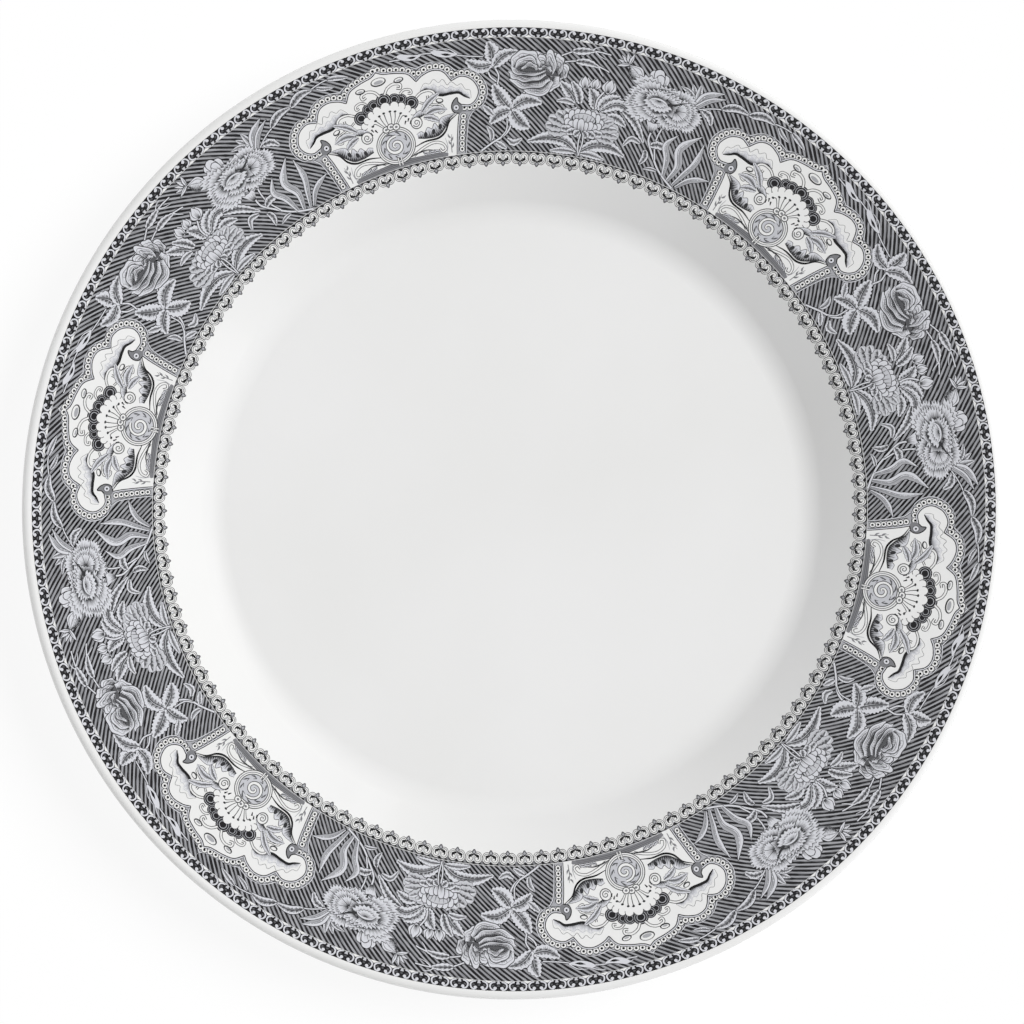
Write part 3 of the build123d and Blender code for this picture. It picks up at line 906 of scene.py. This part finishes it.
def boss(d):
    """A round boss with a spiral, over a shaded base strip."""
    d.flips = (1,)
    strip = [(-15.2, 98.8), (-14.6, 99.9), (-6, 100.4), (0, 100.7), (6, 100.4), (14.6, 99.9), (15.2, 98.8)]
    d.fill("mid", smooth(strip, 4))
    for y in (99.15, 99.6, 100.05):
        d.line("deep", [(-13.8, y), (0, y + 0.35), (13.8, y)], [0.1, 0.2, 0.1], 8)
    centre = (0, 105)
    d.discs(centre, ("dark", 6, 5.3, 40), (BARE, 5.76, 5.05, 40), ("mid", 5.4, 4.7, 40))
    d.discs(centre, (BARE, 5.16, 4.48, 40), ("dark", 4.8, 4.14, 36), ("light", 4.55, 3.9, 36))
    for i in range(9):
        a = math.radians(i * 40 + 12)
        root, bend, out, side = (
            (x * math.cos(a + turn), centre[1] + y * math.sin(a + turn))
            for x, y, turn in ((3.6, 3.0, 0), (3.9, 3.6, 0.3), (4.3, 3.7, 0.5), (3.2, 2.7, 0.35))
        )
        d.line("deep", [root, bend, out], [0.14, 0.5, 0.1], 3)
        d.line("deep", [root, side], [0.3, 0.1], 2)
    spiral = coil((0, 0), 3.1, 0.2, 80, 640, 34) * (1, 0.86) + centre
    d.line("dark", spiral, [0.9, 1.2, 1, 0.6], 0)
    d.line(BARE, spiral, [0.5, 0.75, 0.6, 0.3], 0)
    for x in (-0.5, 0.5):
        d.line("dark", [(x, 101.6), (x, 99.4)], [0.62, 0.62], 2)
        d.line(BARE, [(x, 101.6), (x, 99.4)], [0.34, 0.34], 2)
    for knob in ((-1.5, 110), (0, 110.4), (1.5, 110)):
        d.discs(knob, ("dark", 1.15, 1, 14), (BARE, 0.9, 0.76, 14), ("mid", 0.42, 0.34, 10))


def cartouche(d):
    for motif in (frame_border, shoulder_scrolls, fan, tendrils, side_leaves, acanthus, boss):
        motif(d)


# ---- From drawing to ink film
TONES = list(INK)
ARC_SCALE = 115.0
FIRST_ANGLE = 107.5
REPEATS = 6
AROUND = 2 * math.pi * ARC_SCALE  # once round the plate, in u
WIDTH = AROUND / REPEATS
LATTICE = 3.0  # distance between the extra points that keep triangles small
PRINT_LOW, PRINT_HIGH = 94.6, 132.7
PANEL_LOW, PANEL_HIGH = 98.8, 130.0
# How far off centre the print is at its inner and outer edge
INNER_SLIP, OUTER_SLIP = (-0.63, 0.33), (0.54, 0.1)


def in_plan(points):
    """Drawing coordinates to x and y on the plate, for the first of the six repeats."""
    u, v = np.asarray(points, float).T
    angle = math.radians(FIRST_ANGLE) - u / ARC_SCALE
    return np.column_stack([v * np.cos(angle), v * np.sin(angle)])


def lattice(outline):
    """Points of a regular grid over an outline's box."""
    low, high = outline.min(0), outline.max(0)
    xs, ys = (np.arange(low[i] + LATTICE / 2, high[i], LATTICE) for i in (0, 1))
    return np.array([(x, y) for x in xs for y in ys])


def inside(ring, points):
    """Which points the ring goes round, by its winding number."""
    x, y = points[:, 0:1], points[:, 1:2]
    x0, y0 = ring[:, 0], ring[:, 1]
    x1, y1 = np.roll(x0, -1), np.roll(y0, -1)
    lift = (y >= y0).astype(np.int8) - (y >= y1).astype(np.int8)
    turn = (x1 - x0) * (y - y0) - (x - x0) * (y1 - y0)
    return (lift * (turn * lift > 0)).sum(1) != 0


def inside_many(ring, points, batch=20000):
    """The same for many points, a batch at a time to spare memory."""
    return np.concatenate([inside(ring, points[i : i + batch]) for i in range(0, len(points), batch)])


def topmost(rings, points):
    """For each point, the last of the rings that goes round it, or -1."""
    order = np.argsort(points[:, 1])
    spot = points[order]
    top = np.full(len(points), -1)
    for i, ring in enumerate(rings):
        low, high = ring.min(0), ring.max(0)
        a, b = np.searchsorted(spot[:, 1], (low[1], high[1]))
        near = a + np.flatnonzero((spot[a:b, 0] >= low[0]) & (spot[a:b, 0] <= high[0]))
        top[near[inside(ring, spot[near])]] = i
    back = np.empty_like(top)
    back[order] = top
    return back


def visible_edges(rings):
    """Starts and ends of the edges that no later ring hides."""
    starts = np.concatenate([np.roll(ring, 1, axis=0) for ring in rings])
    ends = np.concatenate(rings)
    owner = np.repeat(np.arange(len(rings)), [len(ring) for ring in rings])
    hidden = np.ones(len(owner), bool)
    for share in (0.03, 0.5, 0.97):
        hidden &= topmost(rings, starts + (ends - starts) * share) > owner
    return starts[~hidden], ends[~hidden]


def flatten(drawing, outline, hole=None):
    """The triangles of a drawing that show inside the outline, each with the tone on top.

    The outline is a circle about the axis where it has a hole, which is then one too. Gives
    the points, the triangles and a tone for each triangle.
    """
    rings = [in_plan(points) for _, points in drawing.shapes]
    frames = [ring for ring in (outline, hole) if ring is not None]
    starts, ends = visible_edges(rings)
    starts = np.concatenate([starts] + [np.roll(ring, 1, axis=0) for ring in frames])
    ends = np.concatenate([ends] + frames)
    points = np.round(np.vstack([starts, ends, lattice(outline)]), 5)
    points, place = np.unique(points, axis=0, return_inverse=True)
    edges = place.ravel()[: 2 * len(starts)].reshape(2, -1).T
    edges = np.unique(np.sort(edges[edges[:, 0] != edges[:, 1]], axis=1), axis=0)
    got = delaunay_2d_cdt([Vector(p) for p in points], edges.tolist(), [], 0, 1e-5, False)
    flat, triangles = np.array([v[:] for v in got[0]]), np.array(got[2])
    middle = flat[triangles].mean(1)
    top = topmost(rings, middle)
    if hole is None:
        within = inside_many(outline, middle)
    else:
        r = np.hypot(*middle.T)
        within = (r < np.hypot(*outline.T).max()) & (r > np.hypot(*hole.T).max())
    tones = np.array([-1 if tone is BARE else TONES.index(tone) for tone, _ in drawing.shapes])[top]
    kept = within & (top >= 0) & (tones >= 0)
    used, triangles = np.unique(triangles[kept], return_inverse=True)
    return flat[used], triangles.reshape(-1, 3), tones[kept]


def slipped(p):
    """Where the printed paper landed, a little off the plate's centre."""
    r = np.hypot(*p.T)[:, None]
    share = np.clip((r - PRINT_LOW) / (PRINT_HIGH - PRINT_LOW), 0, 1)
    return p + (1 - share) * INNER_SLIP + share * OUTER_SLIP


def on_glaze(p, lift):
    """Points of the glaze's upper face over x and y, raised along z, and the normals there."""
    r = np.hypot(*p.T)
    tilt = np.interp(r, FACE_R, FACE_TILT)
    out = p / np.maximum(r, 1e-9)[:, None]
    z = np.interp(r, FACE_R, FACE_Z) + lift
    return np.column_stack([p, z]), np.column_stack([out * np.sin(tilt)[:, None], np.cos(tilt)])


def ink_film(name, parts, turn=0):
    """A thin closed film on the glaze, turned about the plate's axis."""
    flat, triangles, tones = parts
    c, s = math.cos(turn), math.sin(turn)
    plan = slipped(flat @ np.array([[c, s], [-s, c]]))
    top, top_normals = on_glaze(plan, INK_LIFT)
    low, _ = on_glaze(plan, -INK_LIFT)
    count = len(flat)
    edges = np.vstack([triangles[:, [0, 1]], triangles[:, [1, 2]], triangles[:, [2, 0]]]).astype(np.int64)
    # An edge is on the film's border if no triangle runs along it the other way
    border = ~np.isin(edges[:, 0] * count + edges[:, 1], edges[:, 1] * count + edges[:, 0])
    wall, wall_owner = edges[border], np.tile(np.arange(len(triangles)), 3)[border]
    side = plan[wall[:, 1]] - plan[wall[:, 0]]
    side /= np.maximum(np.hypot(*side.T), 1e-9)[:, None]
    outward = np.column_stack([side[:, 1], -side[:, 0], np.zeros(len(side))])
    under = triangles[:, ::-1]
    faces = triangles.tolist() + (under + count).tolist()
    faces += [[b, a, a + count, b + count] for a, b in wall.tolist()]
    normals = [top_normals[triangles.ravel()], -top_normals[under.ravel()], np.repeat(outward, 4, axis=0)]
    material_of = np.concatenate([tones, tones, tones[wall_owner]])
    return finished(name, np.vstack([top, low]), faces, np.vstack(normals).tolist(), INKS, material_of)


# ---- Materials
def new_material(name, colour, roughness):
    material = bpy.data.materials.new(name)
    material.use_nodes = True
    shader = material.node_tree.nodes["Principled BSDF"]
    shader.inputs["Base Color"].default_value = (*colour, 1)
    shader.inputs["Roughness"].default_value = roughness
    return material, material.node_tree, shader


def noise(tree, scale, detail=3.0, rough=0.5):
    """Noise in the object's own coordinates. Scale is in features per metre."""
    place = tree.nodes.new("ShaderNodeTexCoord")
    node = tree.nodes.new("ShaderNodeTexNoise")
    node.inputs["Scale"].default_value = scale
    node.inputs["Detail"].default_value = detail
    node.inputs["Roughness"].default_value = rough
    tree.links.new(place.outputs["Object"], node.inputs["Vector"])
    return node.outputs["Fac"]


def spread(tree, value, low, high, start=0.3, end=0.7):
    """The value between start and end mapped to low and high."""
    node = tree.nodes.new("ShaderNodeMapRange")
    for socket, number in zip(("From Min", "From Max", "To Min", "To Max"), (start, end, low, high)):
        node.inputs[socket].default_value = number
    tree.links.new(value, node.inputs["Value"])
    return node.outputs["Result"]


def bump(tree, shader, value, height, below=None):
    """Height in metres for a value of 0 to 1, on top of the bump below."""
    node = tree.nodes.new("ShaderNodeBump")
    node.inputs["Distance"].default_value = height
    node.inputs["Strength"].default_value = 1
    tree.links.new(value, node.inputs["Height"])
    if below is not None:
        tree.links.new(below, node.inputs["Normal"])
    tree.links.new(node.outputs["Normal"], shader.inputs["Normal"])
    return node.outputs["Normal"]


def tint(tree, shader, value, first, second):
    """Base colour that varies between two colours."""
    node = tree.nodes.new("ShaderNodeMix")
    node.data_type = "RGBA"
    node.inputs["A"].default_value = (*first, 1)
    node.inputs["B"].default_value = (*second, 1)
    tree.links.new(value, node.inputs["Factor"])
    tree.links.new(node.outputs["Result"], shader.inputs["Base Color"])


def glassy(tree, shader):
    """Surface of the fired glaze: slow waves, a fine orange peel and a little uneven gloss."""
    waves = bump(tree, shader, noise(tree, 22, 1.0), 0.00006)
    bump(tree, shader, noise(tree, 900, 2.0), 0.0000012, waves)
    tree.links.new(spread(tree, noise(tree, 60, 4.0), 0.08, 0.15), shader.inputs["Roughness"])


def white_glaze():
    material, tree, shader = new_material("white_glaze", (0.82, 0.82, 0.815), 0.1)
    cloud = spread(tree, noise(tree, 14), 0, 1, 0.35, 0.65)
    tint(tree, shader, cloud, (0.815, 0.815, 0.808), (0.84, 0.84, 0.838))
    glassy(tree, shader)
    return material


def fired_biscuit():
    material, tree, shader = new_material("fired_biscuit", (0.72, 0.68, 0.61), 0.8)
    cloud = spread(tree, noise(tree, 700, 5.0, 0.7), 0, 1)
    tint(tree, shader, cloud, (0.66, 0.61, 0.53), (0.77, 0.74, 0.68))
    tree.links.new(spread(tree, noise(tree, 1500), 0.7, 0.95), shader.inputs["Roughness"])
    bump(tree, shader, noise(tree, 3000, 4.0, 0.7), 0.00004)
    return material


def ink(tone, grey):
    """A faintly blue black, or a grey of it, under the same glaze."""
    colour = (grey * 0.98, grey * 0.99, grey * 1.05 + 0.001)
    material, tree, shader = new_material("ink_" + tone, colour, 0.12)
    glassy(tree, shader)
    return material


GLAZE_WHITE = white_glaze()
BISCUIT = fired_biscuit()
INKS = [ink(tone, grey) for tone, grey in INK.items()]


# ---- Pieces
def declare(piece, node):
    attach(piece, "root")
    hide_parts(node)


def biscuit_strips():
    """The body under the glaze, with a flat standing ring that comes down to where the glaze ends."""
    coat, base = ([(p - n * GLAZE, n) for p, n in rows] for rows in (COAT, BASE))
    outer, inner = COAT[-1][0], BASE[0][0]
    outward, inward, down = np.array([1.0, 0]), np.array([-1.0, 0]), np.array([0, -1.0])
    return [
        coat,
        [(coat[-1][0], outward), (outer, outward)],
        [(outer, down), (inner, down)],
        [(inner, inward), (base[0][0], inward)],
        base,
    ]


def circle_at(radius, points=720):
    turns = np.linspace(0, AROUND, points, endpoint=False)
    return in_plan(np.column_stack([turns, np.full(points, radius)]))


def border_parts(unit, units, first, low, high):
    """A whole border ring of equal units, the first of them centred at u = first."""
    drawing = Drawing()
    for i in range(units):
        unit(drawing, first + AROUND / units * i, AROUND / units / 2)
    return flatten(drawing, circle_at(high), circle_at(low))


def around(u0, u1, v, count):
    """Points from u0 to u1 at one distance from the plate's axis."""
    return np.column_stack([np.linspace(u0, u1, count), np.full(count, v)])


def cartouche_parts(half):
    """The cartouche, inside the outer edge of its frame."""
    drawing = Drawing()
    cartouche(drawing)
    foot = half[-1][0]
    outline = np.vstack([half, around(foot, -foot, PANEL_LOW, 16)[1:-1], half[:0:-1] * (-1, 1)])
    return flatten(drawing, in_plan(outline))


def floral_parts(half):
    """The floral panel, from the middle of one cartouche to the middle of the next."""
    gap = 0.02
    low, high = 98.0, 131.0
    drawing = Drawing()
    drawing.fill("mid", np.vstack([around(-1, WIDTH + 1, low, 61), around(WIDTH + 1, -1, high, 61)]))
    ground(drawing, WIDTH, low, high)
    floral_panel(drawing)
    foot = half[-1][0] + gap
    base = around(foot, WIDTH - foot, PANEL_LOW, 83)[1:-1]
    top = around(WIDTH - gap, gap, PANEL_HIGH, 121)
    outline = np.vstack([half + (gap, gap), base, half[::-1] * (-1, 1) + (WIDTH - gap, gap), top])
    return flatten(drawing, in_plan(outline))


declare(turned("clay_biscuit", biscuit_strips(), BISCUIT), "plate_body")
declare(turned("glaze_surface", film(COAT), GLAZE_WHITE), "glaze_coat")
declare(turned("base_glaze_surface", film(BASE), GLAZE_WHITE), "base_glaze")
for name, *border in (
    ("outer_border", outer_border_unit, 153, 3.345, 130.02, PRINT_HIGH),
    ("inner_border", inner_border_unit, 129, 4.93, 94.62, 98.68),
):
    declare(ink_film(name + "_ink", border_parts(*border)), name + "_print")

frame_half = np.vstack([even(smooth(lobe, 7), 24)[:-1] for lobe in FRAME_OUTER] + [FRAME_OUTER[-1][-1:]])
frame_half = np.maximum(frame_half, (0, PANEL_LOW))
panels = {"cartouche": cartouche_parts(frame_half), "floral": floral_parts(frame_half)}
for number in range(REPEATS):
    turn = -math.radians(360 / REPEATS * number)
    for name, parts in panels.items():
        piece = ink_film(f"{name}_ink_{number + 1}", parts, turn)
        declare(piece, f"{name}_print_{number + 1}")


# ---- Studio
def paper_floor():
    """A wide pale disc, a hair under the plate."""
    material, _, shader = new_material("studio_paper", (0.16, 0.16, 0.16), 0.9)
    shader.inputs["Specular IOR Level"].default_value = 0
    shader.inputs["Emission Color"].default_value = (1, 1, 1, 1)
    shader.inputs["Emission Strength"].default_value = 0.84
    radius, depth, corners = 30, 0.0002, 64
    mesh = bpy.data.meshes.new("studio_floor")
    rim = [(x, y, -depth) for x, y in circle((0, 0), radius, count=corners).tolist()]
    mesh.from_pydata(rim, [], [list(range(corners))])
    mesh.materials.append(material)
    floor = bpy.data.objects.new("studio_floor", mesh)
    scene.collection.objects.link(floor)


def backdrop():
    """A world as pale as the floor at the horizon and dimmer overhead."""
    world = bpy.data.worlds.new("studio")
    world.use_nodes = True
    scene.world = world
    tree = world.node_tree
    background = tree.nodes["Background"]
    place = tree.nodes.new("ShaderNodeTexCoord")
    split = tree.nodes.new("ShaderNodeSeparateXYZ")
    level = tree.nodes.new("ShaderNodeValToRGB")
    stops = level.color_ramp.elements
    for stop, height, strength in ((stops[0], 0, 1.0), (stops.new(0.12), 0.12, 0.71), (stops[-1], 1, 0.4)):
        stop.position = height
        stop.color = (strength, strength, strength, 1)
    background.inputs["Color"].default_value = (1, 1, 1, 1)
    tree.links.new(place.outputs["Generated"], split.inputs[0])
    tree.links.new(split.outputs["Z"], level.inputs["Fac"])
    tree.links.new(level.outputs["Color"], background.inputs["Strength"])


def sun(name, energy, width, azimuth, elevation):
    """A distant lamp, width and direction in degrees."""
    lamp = bpy.data.objects.new(name, bpy.data.lights.new(name, "SUN"))
    lamp.data.energy = energy
    lamp.data.angle = math.radians(width)
    a, e = math.radians(azimuth), math.radians(elevation)
    aim = Vector((math.cos(e) * math.cos(a), math.cos(e) * math.sin(a), math.sin(e)))
    lamp.rotation_mode = "QUATERNION"
    lamp.rotation_quaternion = aim.to_track_quat("Z", "Y")
    scene.collection.objects.link(lamp)
    return lamp


scene = bpy.context.scene
scene.view_settings.view_transform = "Standard"
paper_floor()
backdrop()
# The key light is wide and leaves no hard glint. The two small lamps give the glints on the well's wall.
sun("key", 2.03, 34, 19, 48).visible_glossy = False
sun("glint_low_right", 0.008, 9, -29, 20)
sun("glint_high_right", 0.005, 7, 65, 20)

camera = bpy.data.objects.new("camera", bpy.data.cameras.new("camera"))
sensor, distance, view_width = 36, 2000, 281.9  # mm; the photo shows this width at the plate
camera.data.lens = sensor * distance / view_width
camera.location = (0.00006, -0.00066, 2.024)
camera.data.clip_start, camera.data.clip_end = 0.1, 100
scene.collection.objects.link(camera)
scene.camera = camera
